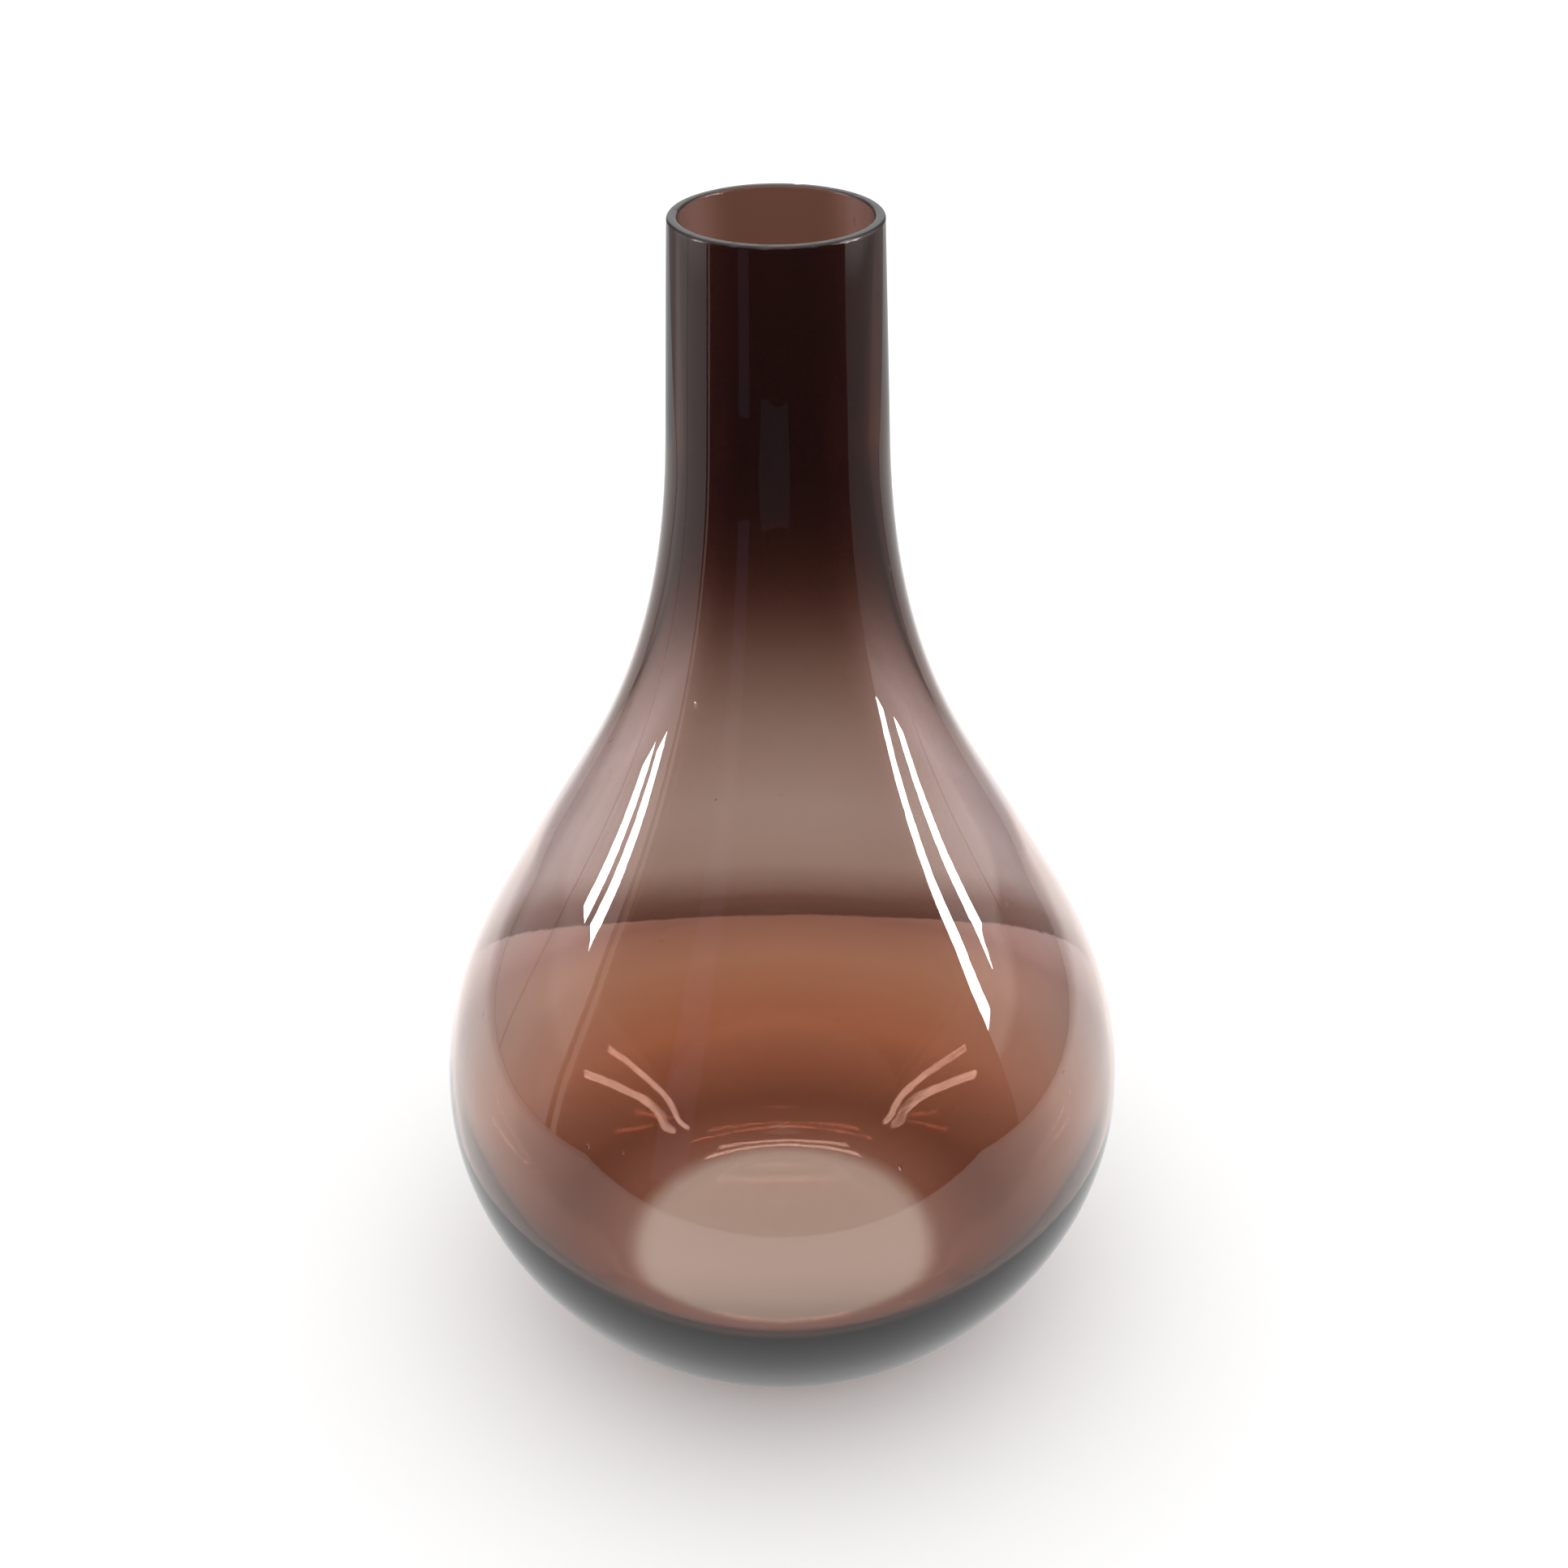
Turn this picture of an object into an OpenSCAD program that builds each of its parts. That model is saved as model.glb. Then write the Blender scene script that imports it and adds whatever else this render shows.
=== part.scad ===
// Mouth-blown bud vase in smoke-brown glass: one hollow piece, turned about Z.
// Origin at the middle of the foot's underside, +Z up, millimetres.

/* [Overall] */
// Height from the foot to the ground lip
height = 220; // [190:1:270]

/* [Neck] */
// Outside diameter at the lip
lip_d = 34.8; // [30:0.2:44]
// Outside diameter where the neck runs into the shoulder
neck_d = 37.6; // [33:0.2:48]
// Length of the straight neck
neck_len = 38; // [25:1:60]
// Inside diameter of the neck, a straight bore that the stem passes through
bore_d = 31.4; // [24:0.2:33]

/* [Lip] */
// Radius of the outer edge of the ground lip
lip_round = 0.5; // [0.2:0.1:0.8]
// Width and depth of the bevel on the lip's inner edge
lip_bevel = 0.3; // [0.1:0.1:0.5]

/* [Body] */
// Widest diameter of the body
belly_d = 131; // [105:1:160]
// Height of the widest point above the foot
belly_z = 49.5; // [40:0.5:60]
// Diameter where the shoulder turns from full to hollow
turn_d = 91.8; // [76:0.2:104]
// Height of that turning point
turn_z = 102.5; // [85:0.5:115]
// Slope of the shoulder at the turning point, in degrees from level
turn_slope = 61.2; // [50:0.2:72]
// Pull of the curve along the floor at the edge of the foot
foot_pull = 10.4; // [6:0.2:14]
// Pull of the curve below the widest point
low_pull = 25; // [18:0.5:32]
// Pull of the curve above the widest point
high_pull = 22; // [16:0.5:30]
// Pull of the full shoulder into the turning point
full_pull = 20; // [14:0.5:26]
// Pull of the hollow shoulder out of the turning point
hollow_pull = 19; // [12:0.5:26]
// Pull of the hollow shoulder into the neck
neck_pull = 43.5; // [30:0.5:52]

/* [Foot] */
// Diameter of the foot
foot_d = 64.6; // [52:0.2:78]
// Width of the flat ring that the foot stands on, round the kick-up
ring_w = 6.3; // [3:0.1:10]
// Height of the kick-up at its middle
kick_h = 0.8; // [0.3:0.1:2]

/* [Glass] */
// Glass thickness at the turning point of the shoulder
turn_wall = 1.5; // [1.2:0.1:2.5]
// Glass thickness at the widest point
belly_wall = 1.2; // [1:0.1:2.5]
// Glass thickness at the heel, where the glass is heaviest
heel_wall = 6.2; // [3:0.1:8]
// Glass thickness at the middle of the foot
floor_wall = 3; // [1.5:0.1:5]

/* [Hidden] */
curve_steps = 20;   // straight pieces in each swept curve of the outline
heel_step = 6;      // straight pieces of the bowl's curve below the heaviest glass
kick_steps = 8;     // straight pieces in the kick-up and the floor above it
well_steps = 8;     // straight pieces from the floor up to the heel, inside
lip_steps = 5;      // straight pieces round the lip's outer edge
turn_sides = 120;
lip_r = lip_d / 2;
neck_r = neck_d / 2;
bore_r = bore_d / 2;
belly_r = belly_d / 2;
foot_r = foot_d / 2;
kick_r = foot_r - ring_w;
neck_z = height - neck_len;
neck_wall = neck_r - bore_r;
smoke_brown = [0.42, 0.27, 0.22, 0.6];

// Unit vector up the shoulder at the turning point, and up the neck's slight taper.
turn_dir = [-cos(turn_slope), sin(turn_slope)];
neck_dir = let (v = [lip_r - neck_r, neck_len]) v / norm(v);
turn_point = [turn_d / 2, turn_z];
neck_point = [neck_r, neck_z];
belly_point = [belly_r, belly_z];

// The three swept curves of the outside, foot to neck, each with four control points.
bowl = [[foot_r, 0], [foot_r + foot_pull, 0], belly_point - [0, low_pull], belly_point];
full = [belly_point, belly_point + [0, high_pull], turn_point - full_pull * turn_dir, turn_point];
hollow = [turn_point, turn_point + hollow_pull * turn_dir, neck_point - neck_pull * neck_dir, neck_point];

// Point and outward normal of a cubic curve c at t, from 0 to 1.
function point_at(c, t) = pow(1 - t, 3) * c[0] + 3 * pow(1 - t, 2) * t * c[1]
    + 3 * (1 - t) * t * t * c[2] + pow(t, 3) * c[3];
function slope_at(c, t) = pow(1 - t, 2) * (c[1] - c[0]) + 2 * (1 - t) * t * (c[2] - c[1])
    + t * t * (c[3] - c[2]);
function normal_at(c, t) = let (s = slope_at(c, t)) [s[1], -s[0]] / norm(s);

// Thickness that eases from a to b as t goes from 0 to 1.
function ease(a, b, t) = a + (b - a) * t * t * (3 - 2 * t);
function outer_curve(c) = [for (i = [1 : curve_steps]) point_at(c, i / curve_steps)];
function inner_curve(c, a, b) = [for (i = [0 : curve_steps - 1])
    let (t = i / curve_steps) point_at(c, t) - ease(a, b, t) * normal_at(c, t)];
function reversed(list) = [for (i = [len(list) - 1 : -1 : 0]) list[i]];

// Kick-up: a cosine dome, highest on the axis and level at its own edge.
function kick_at(r) = kick_h * (1 + cos(180 * r / kick_r)) / 2;
kick_under = [for (i = [0 : kick_steps]) let (r = kick_r * i / kick_steps) [r, kick_at(r)]];
floor_above = [for (i = [0 : kick_steps]) let (r = kick_r * i / kick_steps) [r, kick_at(r) + floor_wall]];

// Inside of the bowl: a swept curve from the floor to the heel, then glass that thins to the widest point.
heel_t = heel_step / curve_steps;
heel_dir = let (s = slope_at(bowl, heel_t)) s / norm(s);
heel_point = point_at(bowl, heel_t) - heel_wall * normal_at(bowl, heel_t);
floor_point = [kick_r, floor_wall];
well_pull = norm(heel_point - floor_point) / 3;
well = [floor_point, floor_point + [well_pull, 0], heel_point - well_pull * heel_dir, heel_point];
inner_well = [for (i = [1 : well_steps - 1]) point_at(well, i / well_steps)];
inner_bowl = [for (i = [heel_step : curve_steps - 1]) let (t = i / curve_steps)
    point_at(bowl, t) - ease(heel_wall, belly_wall, (t - heel_t) / (1 - heel_t)) * normal_at(bowl, t)];

lip_outer = [for (i = [0 : lip_steps]) let (a = 90 * i / lip_steps)
    [lip_r - lip_round * (1 - cos(a)), height - lip_round * (1 - sin(a))]];
lip_inner = [[bore_r + lip_bevel, height], [bore_r, height - lip_bevel], [bore_r, neck_z]];

outline = concat(
    kick_under, [bowl[0]], outer_curve(bowl), outer_curve(full), outer_curve(hollow),
    lip_outer, lip_inner,
    reversed(inner_curve(hollow, turn_wall, neck_wall)),
    reversed(inner_curve(full, belly_wall, turn_wall)),
    reversed(inner_bowl),
    reversed(inner_well),
    reversed(floor_above));

module vase() {
    color(smoke_brown) rotate_extrude($fn = turn_sides) polygon(outline);
}

vase();
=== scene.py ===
from math import cos, pi, radians, sin
import bpy
import numpy as np
from mathutils import Matrix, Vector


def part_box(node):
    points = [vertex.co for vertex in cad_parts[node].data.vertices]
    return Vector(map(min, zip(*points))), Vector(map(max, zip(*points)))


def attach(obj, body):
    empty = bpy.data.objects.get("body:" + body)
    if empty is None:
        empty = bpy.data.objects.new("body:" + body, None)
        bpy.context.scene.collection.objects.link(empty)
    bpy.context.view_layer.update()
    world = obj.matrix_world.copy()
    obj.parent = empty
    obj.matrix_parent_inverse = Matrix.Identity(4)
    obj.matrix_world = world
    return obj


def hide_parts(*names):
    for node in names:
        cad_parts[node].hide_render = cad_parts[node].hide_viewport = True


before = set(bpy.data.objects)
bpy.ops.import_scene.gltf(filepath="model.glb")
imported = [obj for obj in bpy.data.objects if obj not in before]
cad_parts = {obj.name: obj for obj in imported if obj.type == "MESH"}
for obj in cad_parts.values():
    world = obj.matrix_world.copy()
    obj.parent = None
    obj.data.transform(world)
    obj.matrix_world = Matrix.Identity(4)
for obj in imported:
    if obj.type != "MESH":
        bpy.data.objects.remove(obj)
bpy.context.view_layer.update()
vaseLow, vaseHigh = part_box("vase")
print("frame loaded, vase", round((vaseHigh.z - vaseLow.z) * 1000), "mm tall")


mm = 0.001


def newObject(name, mesh):
    # puts a mesh in the scene at the origin, unturned and unscaled
    item = bpy.data.objects.new(name, mesh)
    bpy.context.scene.collection.objects.link(item)
    return item


class Sock:
    # wraps a number socket, so that an expression on it adds its Math nodes
    def __init__(self, shop, socket):
        self.shop, self.socket = shop, socket

    def mix(self, operation, first, second=0.0):
        node = self.shop.add("ShaderNodeMath", dict(operation=operation), {0: first, 1: second})
        return Sock(self.shop, node.outputs[0])

    def __add__(self, other):
        return self.mix("ADD", self, other)

    __radd__ = __add__

    def __sub__(self, other):
        return self.mix("SUBTRACT", self, other)

    def __rsub__(self, other):
        return self.mix("SUBTRACT", other, self)

    def __mul__(self, other):
        return self.mix("MULTIPLY", self, other)

    __rmul__ = __mul__

    def __truediv__(self, other):
        return self.mix("DIVIDE", self, other)


class Shop:
    # a material's node tree, emptied, with one method that adds any node
    def __init__(self, name):
        self.material = bpy.data.materials.new(name)
        self.material.use_nodes = True
        self.tree = self.material.node_tree
        self.tree.nodes.clear()

    def add(self, kind, settings=None, inputs=None):
        node = self.tree.nodes.new(kind)
        for key, value in (settings or {}).items():
            setattr(node, key, value)
        for key, value in (inputs or {}).items():
            if isinstance(value, Sock):
                self.tree.links.new(value.socket, node.inputs[key])
            elif isinstance(value, bpy.types.NodeSocket):
                self.tree.links.new(value, node.inputs[key])
            else:
                node.inputs[key].default_value = value
        return node


cameraPlan = dict(
    back=0.3406,            # how far in front of the vase's axis it stands
    height=0.3216,          # above the surface the vase stands on
    pitch=31.31,            # degrees down
    yaw=-0.115,             # a touch to the right of the vase
    roll=-0.377,            # held very slightly askew
    lens=49.92,
    sensor=36.0,
)


def makeCamera(plan):
    data = bpy.data.cameras.new("camera")
    data.lens, data.sensor_width = plan["lens"], plan["sensor"]
    data.clip_start, data.clip_end = 0.01, 50
    camera = newObject("camera", data)
    aim = Matrix.Rotation(radians(plan["yaw"]), 4, "Z")
    tilt = Matrix.Rotation(radians(90 - plan["pitch"]), 4, "X")
    roll = Matrix.Rotation(radians(plan["roll"]), 4, "Z")
    camera.matrix_world = Matrix.Translation((0, -plan["back"], plan["height"])) @ aim @ tilt @ roll
    bpy.context.scene.camera = camera


makeCamera(cameraPlan)


# Millimetres. The outline is the CAD outline: three swept curves, a tapered neck and a ground lip.
bodyShape = dict(
    lipDiameter=34.8, neckDiameter=37.6, neckLength=38, boreDiameter=31.4,
    lipRound=0.5, lipBevel=0.3,
    bellyDiameter=131, bellyHeight=49.5,
    turnDiameter=91.8, turnHeight=102.5, turnSlope=61.2,
    footPull=10.4, lowPull=25, highPull=22, fullPull=20, hollowPull=19, neckPull=43.5,
    footDiameter=64.6, ringWidth=6.3, kickHeight=0.8,
    turnWall=1.5, bellyWall=1.2, heelWall=6.2, heelPlace=0.3, floorWall=3.0,
    curveSteps=30, neckSteps=14, lipSteps=6, faceSteps=4, floorSteps=14, standSteps=5, sides=320,
    outerWave=0.05, innerWave=0.12,     # how uneven the walls are
    outerSeed=4, innerSeed=9, lipSeed=21,
    calmFoot=12, calmLip=10,            # the walls run even towards the foot and the lip
    lipHold=0.15,                       # ring that keeps the shading of the lip off the neck
    lipWave=0.05,                       # how far the ground lip is from flat
    lipBand=0.9, lipRise=0.6,           # depth below the lip at which that starts, and its run to full
    nickAcross=0.9,                     # reach of a chip across the lip, in millimetres
    # chips in the ground lip: angle in degrees, distance from the axis, width, depth
    nicks=((-112, 17.2, 0.5, 0.16), (-96, 17.3, 0.8, 0.18), (-84, 17.2, 0.4, 0.11), (-71, 17.3, 0.6, 0.16),
           (-58, 17.3, 0.4, 0.12), (38, 15.9, 0.7, 0.15), (52, 15.9, 0.4, 0.12), (124, 15.9, 0.8, 0.15),
           (136, 15.9, 0.4, 0.12), (-140, 17.3, 0.5, 0.15), (78, 17.2, 0.5, 0.15), (171, 16.0, 0.5, 0.12)),
)


def sweep(points, t):
    # cubic curve through four control points: each weighted by its Bernstein polynomial of t
    a, b, c, d = (np.asarray(p, float) for p in points)
    t = t[:, None]
    place = (1 - t) ** 3 * a + 3 * (1 - t) ** 2 * t * b + 3 * (1 - t) * t * t * c + t ** 3 * d
    slope = (1 - t) ** 2 * (b - a) + 2 * (1 - t) * t * (c - b) + t * t * (d - c)
    normal = np.stack([slope[:, 1], -slope[:, 0]], 1)
    return place, normal / np.linalg.norm(normal, axis=1, keepdims=True)


def ease(a, b, t):
    # goes from a to b as t goes from 0 to 1, level at both ends
    return a + (b - a) * t * t * (3 - 2 * t)


def vaseOutline(s, height):
    # closed outline in (radius, height): under the foot, up the outside, over the lip, down the inside
    slope = radians(s["turnSlope"])
    turnDir = np.array([-cos(slope), sin(slope)])
    lipR, neckR, boreR = s["lipDiameter"] / 2, s["neckDiameter"] / 2, s["boreDiameter"] / 2
    neckZ = height - s["neckLength"]
    neck, lipEdge = np.array([neckR, neckZ]), np.array([lipR, height])
    neckDir = (lipEdge - neck) / np.linalg.norm(lipEdge - neck)
    foot = np.array([s["footDiameter"] / 2, 0.0])
    belly = np.array([s["bellyDiameter"] / 2, s["bellyHeight"]])
    turn = np.array([s["turnDiameter"] / 2, s["turnHeight"]])
    bowl = [foot, foot + [s["footPull"], 0], belly - [0, s["lowPull"]], belly]
    full = [belly, belly + [0, s["highPull"]], turn - s["fullPull"] * turnDir, turn]
    hollow = [turn, turn + s["hollowPull"] * turnDir, neck - s["neckPull"] * neckDir, neck]
    t = np.linspace(0, 1, s["curveSteps"] + 1)
    heel = s["heelPlace"]
    fromHeel = np.linspace(heel, 1, s["curveSteps"] + 1)
    outer = [sweep(curve, t)[0][1:] for curve in (bowl, full, hollow)]
    inner = []
    for curve, at, a, b in ((bowl, fromHeel, s["heelWall"], s["bellyWall"]),
                            (full, t, s["bellyWall"], s["turnWall"]),
                            (hollow, t, s["turnWall"], neckR - boreR)):
        place, normal = sweep(curve, at)
        inner.append((place - ease(a, b, t)[:, None] * normal)[:-1])
    up = np.linspace(0, 1, s["neckSteps"] + 1)[1:-1]
    up = np.append(up, 1 - s["lipHold"] / s["neckLength"])
    neckLine = neck + up[:, None] * (lipEdge - [0, s["lipRound"]] - neck)
    a = np.linspace(0, pi / 2, s["lipSteps"] + 1)
    lipArc = np.stack([lipR - s["lipRound"] * (1 - np.cos(a)), height - s["lipRound"] * (1 - np.sin(a))], 1)
    boreZ = np.linspace(height - s["lipBevel"], neckZ, s["neckSteps"])
    boreZ = np.insert(boreZ, 1, boreZ[0] - s["lipHold"])
    boreLine = np.stack([np.full_like(boreZ, boreR), boreZ], 1)
    face = np.linspace(lipArc[-1], [boreR + s["lipBevel"], height], s["faceSteps"])[1:]
    kickR = foot[0] - s["ringWidth"]
    r = np.linspace(0, kickR, s["floorSteps"])
    kick = s["kickHeight"] * (1 + np.cos(pi * r / kickR)) / 2
    under = np.stack([r, kick], 1)
    stand = np.linspace(under[-1], foot, s["standSteps"])[1:]
    above = np.stack([r, kick + s["floorWall"]], 1)
    # inside, a swept curve from the floor up to the heel
    _, heelNormal = sweep(bowl, np.array([heel]))
    heelWay = np.array([-heelNormal[0, 1], heelNormal[0, 0]])
    pull = np.linalg.norm(inner[0][0] - above[-1]) / 3
    well, _ = sweep([above[-1], above[-1] + [pull, 0], inner[0][0] - pull * heelWay, inner[0][0]], t[::2])
    outside = np.vstack([under, stand] + outer + [neckLine, lipArc, face])
    inside = np.vstack([boreLine, np.vstack(inner)[::-1], well[-2:0:-1], above[::-1]])
    return outside, inside


def waves(theta, z, seed, tall):
    # sum of slow sine waves round the axis and along the height: soft unevenness of hand-blown glass
    rng = np.random.default_rng(seed)
    total = np.zeros_like(theta)
    for turns in (1, 2, 3, 3, 5, 7, 9, 12):
        rise = rng.uniform(0.4, 2.2) * 2 * pi / tall
        total += np.sin(turns * theta + rise * z + rng.uniform(0, 2 * pi)) / turns ** 0.9
    return total / 2.2


def turned(outline, sides, push, lift):
    # surface of revolution of an outline whose ends lie on the axis; push moves points outwards, lift upwards
    r, z = outline[1:-1, 0], outline[1:-1, 1]
    theta = np.arange(sides) * 2 * pi / sides
    rr, zz = r[:, None] + push, z[:, None] + lift
    ring = np.stack([rr * np.cos(theta), rr * np.sin(theta), zz], 2).reshape(-1, 3)
    ends = np.array([[0, 0, outline[0, 1]], [0, 0, outline[-1, 1]]])
    points = np.vstack([ring, ends]) * mm
    i, j = np.meshgrid(np.arange(len(r) - 1), np.arange(sides), indexing="ij")
    k = (j + 1) % sides
    low, high = i * sides, (i + 1) * sides
    quads = np.stack([low + j, low + k, high + k, high + j], 2).reshape(-1, 4)
    j, k = np.arange(sides), (np.arange(sides) + 1) % sides
    last = (len(r) - 1) * sides
    first = np.stack([np.full(sides, len(ring)), k, j], 1)
    close = np.stack([np.full(sides, len(ring) + 1), last + j, last + k], 1)
    mesh = bpy.data.meshes.new("vaseGlass")
    mesh.from_pydata(points.tolist(), [], quads.tolist() + first.tolist() + close.tolist())
    mesh.shade_smooth()
    mesh.update()
    return mesh


def makeBody(s):
    height = (vaseHigh.z - vaseLow.z) / mm
    outside, inside = vaseOutline(s, height)
    outline = np.vstack([outside, inside])
    z = outline[1:-1, 1][:, None]
    theta = (np.arange(s["sides"]) * 2 * pi / s["sides"])[None, :] + 0 * z
    isOut = (np.arange(len(outline) - 2) < len(outside) - 1)[:, None]
    fade = np.clip(z / s["calmFoot"], 0, 1) * np.clip((height - z) / s["calmLip"], 0, 1)
    push = np.where(isOut, s["outerWave"] * waves(theta, z, s["outerSeed"], height),
                    s["innerWave"] * waves(theta, z, s["innerSeed"], height))
    # the lip: slightly wavy, with chips that are bell-shaped dents
    top = np.clip((z - height + s["lipBand"]) / s["lipRise"], 0, 1)
    lift = s["lipWave"] * waves(theta, z, s["lipSeed"], height) * top
    r = outline[1:-1, 0][:, None]
    for angle, far, wide, deep in s["nicks"]:
        along = far * (np.mod(theta - radians(angle) + pi, 2 * pi) - pi)
        across = (r - far) / s["nickAcross"]
        lift = lift - deep * top * np.exp(-(along ** 2 + across ** 2) / wide ** 2)
    body = newObject("vaseGlass", turned(outline, s["sides"], push * fade, lift))
    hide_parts("vase")
    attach(body, "root")
    return body


body = makeBody(bodyShape)
print("glass body made,", len(body.data.polygons), "faces")


glassLook = dict(
    ior=1.5,
    clear=(1.0, 1.0, 1.0, 1),          # what one wall lets through at the foot
    smoke=(0.70, 0.61, 0.57, 1),       # in the body
    dense=(0.135, 0.06, 0.04, 1),      # in the neck
    footLow=0.001, footHigh=0.020,     # heights between which the foot turns to body
    neckLow=0.120, neckHigh=0.173,     # and the body to neck
    depthColour=(0.68, 0.46, 0.36, 1), # colour that a thick wall tends to
    depthDensity=330.0,                # per metre
    seedScale=150.0, seedSize=0.060, seedShare=0.80, seedDeep=0.00012,
    seedPull=0.45,                     # seeds are drawn out to about twice their width
    cordScale=170.0, cordDeep=0.000012, cordDetail=3.0, cordPull=0.05,
    lipRough=0.32, lipDepth=0.0004, lipBlend=0.0002,
)


def smokeGlass(look):
    shop = Shop("smokeGlass")
    place = shop.add("ShaderNodeTexCoord").outputs["Object"]
    z = Sock(shop, shop.add("ShaderNodeSeparateXYZ", None, {0: place}).outputs[2])
    foot = shop.add("ShaderNodeMapRange", dict(interpolation_type="SMOOTHSTEP"), {
        "Value": z, "From Min": look["footLow"], "From Max": look["footHigh"]}).outputs[0]
    neck = shop.add("ShaderNodeMapRange", dict(interpolation_type="SMOOTHERSTEP"), {
        "Value": z, "From Min": look["neckLow"], "From Max": look["neckHigh"]}).outputs[0]
    low = shop.add("ShaderNodeMix", dict(data_type="RGBA"), {
        0: foot, 6: look["clear"], 7: look["smoke"]}).outputs[2]
    tint = shop.add("ShaderNodeMix", dict(data_type="RGBA"), {
        0: neck, 6: low, 7: look["dense"]}).outputs[2]
    # seeds: tiny bubbles drawn out upwards, in a few cells of a Voronoi pattern
    pulled = shop.add("ShaderNodeVectorMath", dict(operation="MULTIPLY"), {
        0: place, 1: (1, 1, look["seedPull"])}).outputs[0]
    cells = shop.add("ShaderNodeTexVoronoi", None, {"Vector": pulled, "Scale": look["seedScale"]})
    dot = shop.add("ShaderNodeMapRange", dict(interpolation_type="SMOOTHSTEP"), {
        "Value": cells.outputs["Distance"], "From Min": look["seedSize"], "From Max": 0.0}).outputs[0]
    pick = Sock(shop, shop.add("ShaderNodeSeparateColor", None, {0: cells.outputs["Color"]}).outputs[0])
    seeds = Sock(shop, dot) * pick.mix("GREATER_THAN", pick, look["seedShare"])
    # cords: faint streaks up the wall
    drawn = shop.add("ShaderNodeVectorMath", dict(operation="MULTIPLY"), {
        0: place, 1: (1, 1, look["cordPull"])}).outputs[0]
    cords = shop.add("ShaderNodeTexNoise", None, {
        "Vector": drawn, "Scale": look["cordScale"], "Detail": look["cordDetail"]})
    ripple = shop.add("ShaderNodeBump", None, {
        "Strength": 1.0, "Distance": look["cordDeep"], "Height": cords.outputs[0]}).outputs[0]
    relief = shop.add("ShaderNodeBump", None, {
        "Strength": 1.0, "Distance": look["seedDeep"], "Height": seeds, "Normal": ripple}).outputs[0]
    # the ground lip is dull
    top = (vaseHigh.z - vaseLow.z) - look["lipDepth"]
    ground = shop.add("ShaderNodeMapRange", None, {
        "Value": z, "From Min": top - look["lipBlend"], "From Max": top,
        "To Max": look["lipRough"]}).outputs[0]
    shader = shop.add("ShaderNodeBsdfPrincipled", None, {
        "Base Color": tint, "Roughness": ground, "IOR": look["ior"], "Transmission Weight": 1.0,
        "Normal": relief})
    depth = shop.add("ShaderNodeVolumeAbsorption", None, {
        "Color": look["depthColour"], "Density": look["depthDensity"]})
    out = shop.add("ShaderNodeOutputMaterial")
    shop.tree.links.new(shader.outputs[0], out.inputs["Surface"])
    shop.tree.links.new(depth.outputs[0], out.inputs["Volume"])
    return shop.material


body.data.materials.append(smokeGlass(glassLook))
print("glass finished")


studio = dict(
    floorSize=8.0, floorTone=0.90, floorGlow=0.10, floorRough=0.9,
    worldTone=1.16,
)

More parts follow.
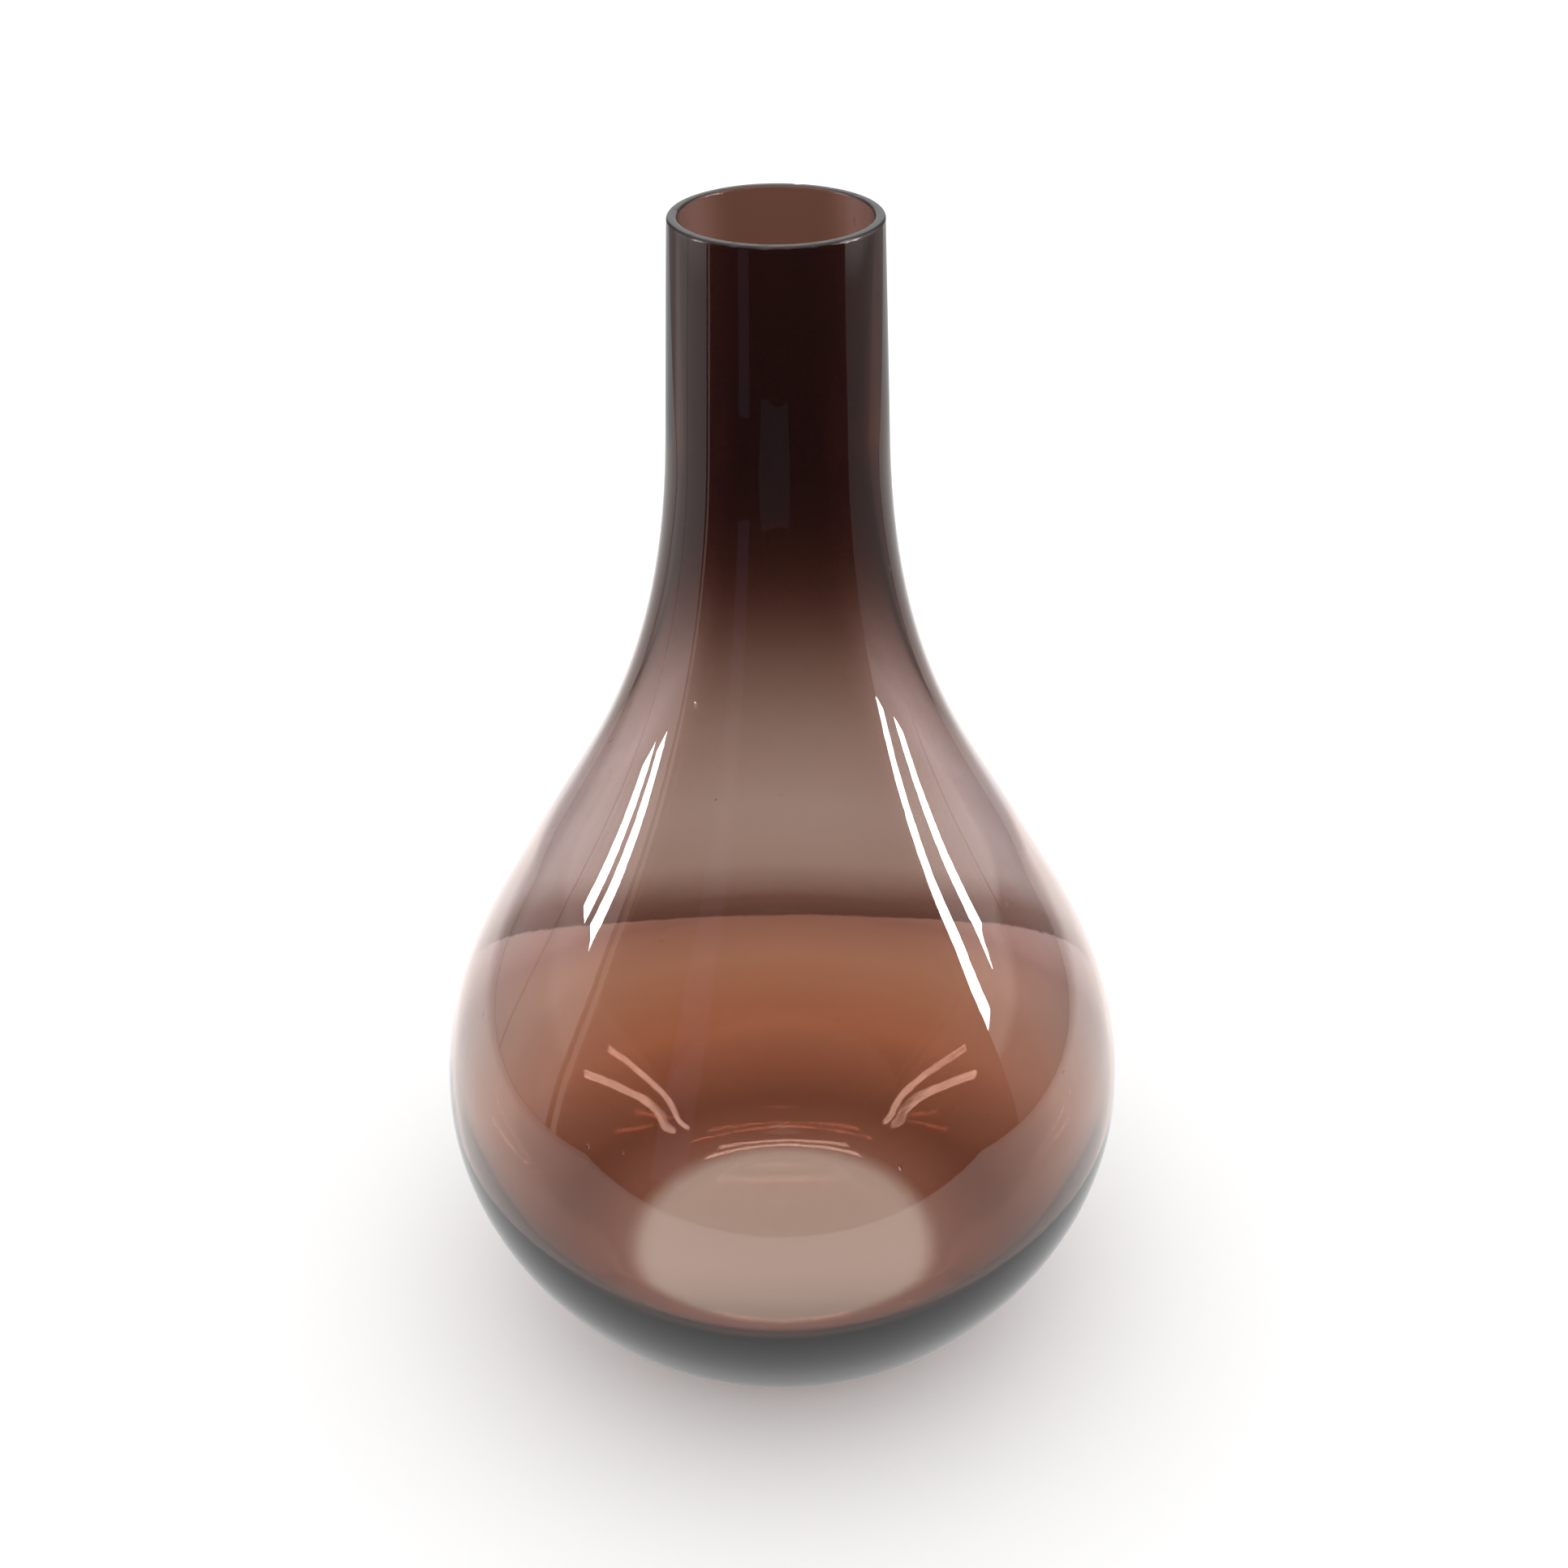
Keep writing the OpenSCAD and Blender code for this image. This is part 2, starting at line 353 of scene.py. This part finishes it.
# The set that only the glass takes in, glowing cards of painted light, shade and reflection besides the lamp
# bars: what it mirrors, and the floor seen through it.
glassSet = dict(
    drop=0.0002,                       # how far the seen floor lies under the shown one
    apart=0.001,                       # between cards that lie on each other
    white=(1.0, 0.98, 0.96),
    reach=3.0,                         # half the seen floor's width
    span=0.50,                         # distance from the axis over which its colours are given
    # painted light and shade on the floor by distance from the axis, in metres: a painted pool of light under
    # the foot, painted shade round the foot, warm where light came through the vase
    rings=((0.000, (1.02, 1.14, 1.14)), (0.0300, (1.05, 1.18, 1.18)), (0.0345, (0.62, 0.42, 0.34)),
           (0.050, (0.50, 0.28, 0.16)), (0.074, (1.36, 0.92, 0.62)), (0.101, (1.15, 0.86, 0.64)),
           (0.122, (0.74, 0.52, 0.45)), (0.150, (0.95, 0.88, 0.84)), (0.190, (1.12, 1.28, 1.35))),
    # the board that the vase stands on ends behind it in a straight edge, with a shadow beyond
    edgeAt=0.1222, edgeSoft=0.0006,
    beyond=((0.000, (0.28, 0.19, 0.15)), (0.1222, (0.28, 0.19, 0.15)), (0.134, (0.42, 0.29, 0.24)),
            (0.154, (0.94, 0.98, 0.97)), (0.190, (1.12, 1.28, 1.35))),
    aside=(0.86, 1.12, 1.56), asideFrom=0.030, asideTo=0.080,   # painted light on the seen floor: cooler to the left and right
    asideBack=(1.95, 1.80, 1.62), backFrom=0.070, backTo=0.115,  # and brighter behind
    asideFront=1.28, frontFrom=0.030, frontTo=0.0,              # and before
    footShade=0.60, footFrom=-0.004, footTo=-0.028,             # painted shade: darker at the front of the foot
    footRim=0.036, footInner=0.031,
    # painted light and shade of the floor by the same distance, as mirrored in front of the vase and behind
    # it: painted shade close to the vase
    mirroredFront=((0.000, 0.10), (0.040, 0.42), (0.052, 0.70), (0.080, 0.80), (0.110, 0.82), (0.150, 0.90)),
    mirroredBack=((0.000, 0.10), (0.045, 0.45), (0.060, 0.70), (0.100, 1.10), (0.150, 1.45), (0.340, 1.50),
                  (0.420, 0.80), (0.500, 0.60)),
    frontWay=-0.75, behindWay=0.25,    # Y over distance at which the one has turned into the other
    floorFront=-0.240, frontSoft=0.004, floorSide=0.410, sideSoft=0.010,
    # the walls, which glow with painted light and shade, left one then right one: front edge, tone low down;
    # both: tone high up and far back
    wallX=0.420, wallFront=(-0.112, -0.118), wallBack=0.90, wallTall=0.75,
    wallLowTone=(0.75, 0.36), wallTone=1.15, wallFarTone=0.28,
    wallLow=0.098, wallHigh=0.120, wallNear=0.22, wallFar=0.36,
    seamAt=0.088, seamWide=0.007, seamTone=(0.40, 0.36, 0.33),      # a thin dark seam in each wall
    postAt=-0.136, postWide=0.018, postTone=(0.85, 0.74, 0.66),     # a pale post before the left wall
    # the dark opening in front, painted shade: distance, height, steps and tone
    screenAway=0.65, screenTall=0.75, screenSteps=49, frontShadeTone=(0.075, 0.075, 0.085),
    # lamp bars on the walls, as the outside and the inside mirror them: side, then Y and Z of both ends
    bars=((-1, -0.046, 0.150, -0.105, 0.50), (-1, 0.006, 0.145, -0.050, 0.52),
          (1, -0.103, 0.138, -0.140, 0.48), (1, -0.018, 0.136, -0.050, 0.48)),
    innerBars=((-1, -0.016, 0.250, -0.090, 0.54), (-1, 0.063, 0.254, -0.056, 0.50),
               (1, -0.045, 0.275, -0.105, 0.58), (1, 0.063, 0.241, -0.050, 0.50)),
    barTone=42.0, barWide=0.030, innerTone=120.0, innerWide=0.020,
    topBars=((0.055, 0.40), (0.125, 0.40)), topHalf=0.115, topTone=420.0, topWide=0.036,
    bandFrom=-39, bandTo=-28, bandAhead=0.03, bandTone=(0.20, 0.175, 0.26),   # a pale upright, degrees
    patch=(-0.18, 0.11, -0.64, -0.52), patchTone=(0.15, 0.17, 0.20),  # a pale thing low in front
)


def plainMaterial(name, tone, glow, rough):
    shop = Shop(name)
    shader = shop.add("ShaderNodeBsdfPrincipled", None, {
        "Base Color": (tone, tone, tone, 1), "Roughness": rough, "Specular IOR Level": 0.0,
        "Emission Color": (1, 1, 1, 1), "Emission Strength": glow})
    out = shop.add("ShaderNodeOutputMaterial")
    shop.tree.links.new(shader.outputs[0], out.inputs["Surface"])
    return shop.material


def makeCard(name, corners, faces, material):
    # a card that the camera, the floor and shadows don't take in
    mesh = bpy.data.meshes.new(name)
    mesh.from_pydata([tuple(c) for c in corners], [], faces)
    card = newObject(name, mesh)
    card.visible_camera = False
    card.visible_diffuse = False
    card.visible_shadow = False
    card.visible_volume_scatter = False
    card.data.materials.append(material)
    return card


def mirrorGlow(name, tone, strength=1.0, by="both"):
    # glows in mirrored light only, and lets the rest through; mirrored by the outside, the inside or both
    shop = Shop(name)
    path = shop.add("ShaderNodeLightPath")
    mirrored = Sock(shop, path.outputs["Glossy Depth"])
    entered = Sock(shop, path.outputs["Transmission Depth"])
    entered = entered.mix("MINIMUM", entered, 1.0)
    if by == "inside":
        mirrored = mirrored * entered
    if by == "outside":
        mirrored = mirrored * (1.0 - entered)
    glow = shop.add("ShaderNodeEmission", None, {0: (*tone, 1), 1: strength}).outputs[0]
    clear = shop.add("ShaderNodeBsdfTransparent").outputs[0]
    both = shop.add("ShaderNodeMixShader", None, {0: mirrored, 1: clear, 2: glow}).outputs[0]
    shop.add("ShaderNodeOutputMaterial", None, {0: both})
    return shop.material


def wallGlow(plan, lowTone):
    # white side wall glowing with painted light: bright above the lamps' feet, painted shade near the floor
    # and towards the back
    shop = Shop("whiteWall")
    place = shop.add("ShaderNodeTexCoord").outputs["Object"]
    parts = shop.add("ShaderNodeSeparateXYZ", None, {0: place})
    up = shop.add("ShaderNodeMapRange", dict(interpolation_type="SMOOTHSTEP"), {
        "Value": parts.outputs[2], "From Min": plan["wallLow"], "From Max": plan["wallHigh"]}).outputs[0]
    near = shop.add("ShaderNodeMapRange", dict(interpolation_type="SMOOTHSTEP"), {
        "Value": parts.outputs[1], "From Min": plan["wallFar"], "From Max": plan["wallNear"]}).outputs[0]
    tall = lowTone + Sock(shop, up) * (plan["wallTone"] - lowTone)
    tone = plan["wallFarTone"] + Sock(shop, near) * (tall - plan["wallFarTone"])
    mirrored = shop.add("ShaderNodeLightPath").outputs["Glossy Depth"]
    glow = shop.add("ShaderNodeEmission", None, {1: tone}).outputs[0]
    clear = shop.add("ShaderNodeBsdfTransparent").outputs[0]
    both = shop.add("ShaderNodeMixShader", None, {0: mirrored, 1: clear, 2: glow}).outputs[0]
    shop.add("ShaderNodeOutputMaterial", None, {0: both})
    return shop.material


def ramp(shop, where, stops, span):
    # colour ramp whose stops stand at lengths, over a range of span
    node = shop.add("ShaderNodeValToRGB", None, {0: where})
    points = node.color_ramp.elements
    for index, (place, tone) in enumerate(stops):
        tone = tone if isinstance(tone, tuple) else (tone, tone, tone)
        point = points[index] if index < 2 else points.new(place / span)
        point.position = place / span
        point.color = (*tone, 1)
    return node.outputs[0]


def seenFloor(plan):
    # the floor as the glass takes it in, a glowing card of painted light and shade: one colouring seen
    # through the walls, one mirrored by them
    shop = Shop("seenFloor")
    place = shop.add("ShaderNodeTexCoord").outputs["Object"]
    parts = shop.add("ShaderNodeSeparateXYZ", None, {0: place})
    x, y = Sock(shop, parts.outputs[0]), Sock(shop, parts.outputs[1])
    away = Sock(shop, shop.add("ShaderNodeVectorMath", dict(operation="LENGTH"), {0: place}).outputs[1])
    span = plan["span"]
    edge = shop.add("ShaderNodeMapRange", None, {
        "Value": y, "From Min": plan["edgeAt"] - plan["edgeSoft"],
        "From Max": plan["edgeAt"] + plan["edgeSoft"]}).outputs[0]
    board = shop.add("ShaderNodeMix", dict(data_type="RGBA"), {
        0: edge, 6: ramp(shop, away / span, plan["rings"], span),
        7: ramp(shop, y / span, plan["beyond"], span)}).outputs[2]
    wide = shop.add("ShaderNodeMapRange", dict(interpolation_type="SMOOTHSTEP"), {
        "Value": x.mix("ABSOLUTE", x), "From Min": plan["asideFrom"], "From Max": plan["asideTo"]}).outputs[0]
    cooler = shop.add("ShaderNodeVectorMath", dict(operation="MULTIPLY"), {
        0: board, 1: plan["aside"]}).outputs[0]
    back = shop.add("ShaderNodeMapRange", dict(interpolation_type="SMOOTHSTEP"), {
        "Value": y, "From Min": plan["backFrom"], "From Max": plan["backTo"]}).outputs[0]
    fore = shop.add("ShaderNodeMapRange", dict(interpolation_type="SMOOTHSTEP"), {
        "Value": y, "From Min": plan["frontFrom"], "From Max": plan["frontTo"],
        "To Max": plan["asideFront"] - 1}).outputs[0]
    brighter = 1.0 + Sock(shop, wide) * Sock(shop, fore)
    sides = shop.add("ShaderNodeMix", dict(data_type="RGBA"), {0: wide, 6: board, 7: cooler}).outputs[2]
    lit = shop.add("ShaderNodeVectorMath", dict(operation="MULTIPLY"), {
        0: sides, 1: plan["asideBack"]}).outputs[0]
    sides = shop.add("ShaderNodeMix", dict(data_type="RGBA"), {
        0: Sock(shop, wide) * Sock(shop, back), 6: sides, 7: lit}).outputs[2]
    under = shop.add("ShaderNodeMapRange", dict(interpolation_type="SMOOTHSTEP"), {
        "Value": away, "From Min": plan["footRim"], "From Max": plan["footInner"]}).outputs[0]
    toe = shop.add("ShaderNodeMapRange", dict(interpolation_type="SMOOTHSTEP"), {
        "Value": y, "From Min": plan["footFrom"], "From Max": plan["footTo"]}).outputs[0]
    shade = brighter * (1.0 - Sock(shop, under) * Sock(shop, toe) * (1.0 - plan["footShade"]))
    through = shop.add("ShaderNodeVectorMath", dict(operation="SCALE"), {0: sides, "Scale": shade}).outputs[0]
    behind = shop.add("ShaderNodeMapRange", dict(interpolation_type="SMOOTHSTEP"), {
        "Value": y / away, "From Min": plan["frontWay"], "From Max": plan["behindWay"]}).outputs[0]
    mirrored = shop.add("ShaderNodeMix", dict(data_type="RGBA"), {
        0: behind, 6: ramp(shop, away / span, plan["mirroredFront"], span),
        7: ramp(shop, away / span, plan["mirroredBack"], span)}).outputs[2]
    front = shop.add("ShaderNodeMapRange", None, {
        "Value": y, "From Min": plan["floorFront"] - plan["frontSoft"],
        "From Max": plan["floorFront"] + plan["frontSoft"]}).outputs[0]
    side = shop.add("ShaderNodeMapRange", None, {
        "Value": x.mix("ABSOLUTE", x), "From Min": plan["floorSide"] + plan["sideSoft"],
        "From Max": plan["floorSide"]}).outputs[0]
    # painted shade where the mirrored floor runs out in front and to the sides
    keep = Sock(shop, front) * Sock(shop, side)
    dark = shop.add("ShaderNodeMix", dict(data_type="RGBA"), {
        0: keep, 6: (*plan["frontShadeTone"], 1), 7: mirrored}).outputs[2]
    depth = Sock(shop, shop.add("ShaderNodeLightPath").outputs["Glossy Depth"])
    turned = depth.mix("MINIMUM", depth, 1.0)
    tone = shop.add("ShaderNodeMix", dict(data_type="RGBA"), {
        0: turned, 6: through, 7: dark}).outputs[2]
    glow = shop.add("ShaderNodeEmission", None, {0: tone}).outputs[0]
    shop.add("ShaderNodeOutputMaterial", None, {0: glow})
    return shop.material


def strip(name, start, end, wide, material):
    # flat strip from start to end, wide along the part of Y or Z that lies across it
    start, end = np.array(start), np.array(end)
    way = (end - start) / np.linalg.norm(end - start)
    across = np.cross(way, [1.0, 0, 0]) if abs(way[0]) < 0.5 else np.array([0, 1.0, 0])
    across = across / np.linalg.norm(across) * wide / 2
    corners = [start - across, start + across, end + across, end - across]
    return makeCard(name, corners, [(0, 1, 2, 3)], material)


def makeFloor(plan):
    half = plan["floorSize"] / 2
    mesh = bpy.data.meshes.new("floor")
    corners = [(-half, -half, 0), (half, -half, 0), (half, half, 0), (-half, half, 0)]
    mesh.from_pydata(corners, [], [(0, 1, 2, 3)])
    floor = newObject("floor", mesh)
    floor.visible_transmission = False
    floor.visible_glossy = False
    floor.data.materials.append(
        plainMaterial("paleFloor", plan["floorTone"], plan["floorGlow"], plan["floorRough"]))


def makeGlassSet(plan):
    r, low = plan["reach"], -plan["drop"]
    corners = [(-r, -r, low), (r, -r, low), (r, r, low), (-r, r, low)]
    makeCard("floorSeen", corners, [(0, 1, 2, 3)], seenFloor(plan))
    far, high = plan["wallBack"], plan["wallTall"]
    seam = mirrorGlow("seam", plan["seamTone"])
    for side, near, tone in zip((-1, 1), plan["wallFront"], plan["wallLowTone"]):
        x = side * plan["wallX"]
        corners = [(x, near, 0), (x, far, 0), (x, far, high), (x, near, high)]
        makeCard(f"wall{side}", corners, [(0, 1, 2, 3)], wallGlow(plan, tone))
        x, y = side * (plan["wallX"] - plan["apart"]), plan["seamAt"]
        strip(f"seam{side}", (x, y, 0), (x, y, high), plan["seamWide"], seam)
    post = mirrorGlow("post", plan["postTone"])
    x, y = plan["apart"] - plan["wallX"], plan["postAt"]
    strip("post", (x, y, 0), (x, y, high), plan["postWide"], post)
    for name, by, tone, wide in (("bars", "outside", plan["barTone"], plan["barWide"]),
                                 ("innerBars", "inside", plan["innerTone"], plan["innerWide"])):
        lamp = mirrorGlow(name, plan["white"], tone, by)
        for number, (side, y, z, topY, topZ) in enumerate(plan[name]):
            x = side * (plan["wallX"] - 2 * plan["apart"])
            strip(f"{name}{number}", (x, y, z), (x, topY, topZ), wide, lamp)
    top = mirrorGlow("topBar", plan["white"], plan["topTone"], "inside")
    for number, (y, z) in enumerate(plan["topBars"]):
        strip(f"topBar{number}", (-plan["topHalf"], y, z), (plan["topHalf"], y, z), plan["topWide"], top)
    # the dark opening in front, a card of painted shade: half a cylinder
    a = np.linspace(-pi / 2, pi / 2, plan["screenSteps"])
    x, y = plan["screenAway"] * np.sin(a), -plan["screenAway"] * np.cos(a)
    low = np.stack([x, y, np.zeros_like(x)], 1)
    corners = np.vstack([low, low + [0, 0, plan["screenTall"]]])
    j = np.arange(len(a) - 1)
    faces = np.stack([j, j + 1, j + 1 + len(a), j + len(a)], 1).tolist()
    makeCard("darkFront", corners, faces, mirrorGlow("darkRoom", plan["frontShadeTone"]))
    a = np.radians([plan["bandFrom"], plan["bandTo"]])
    away, tall = plan["screenAway"] - plan["bandAhead"], plan["screenTall"]
    x, y = away * np.sin(a), -away * np.cos(a)
    corners = [(x[0], y[0], 0), (x[1], y[1], 0), (x[1], y[1], tall), (x[0], y[0], tall)]
    makeCard("paleUpright", corners, [(0, 1, 2, 3)], mirrorGlow("paleUpright", plan["bandTone"]))
    left, right, near, far = plan["patch"]
    up = plan["apart"]
    corners = [(left, near, up), (right, near, up), (right, far, up), (left, far, up)]
    makeCard("palePatch", corners, [(0, 1, 2, 3)], mirrorGlow("palePatch", plan["patchTone"]))


def makeWorld(plan):
    world = bpy.data.worlds.new("studio")
    world.use_nodes = True
    tone = plan["worldTone"]
    world.node_tree.nodes["Background"].inputs["Color"].default_value = (tone, tone, tone, 1)
    bpy.context.scene.world = world


makeFloor(studio)
makeGlassSet(glassSet)
makeWorld(studio)
bpy.context.scene.view_settings.view_transform = "Standard"
bpy.context.scene.cycles.max_bounces = 24
bpy.context.scene.cycles.transmission_bounces = 24
print("studio set")
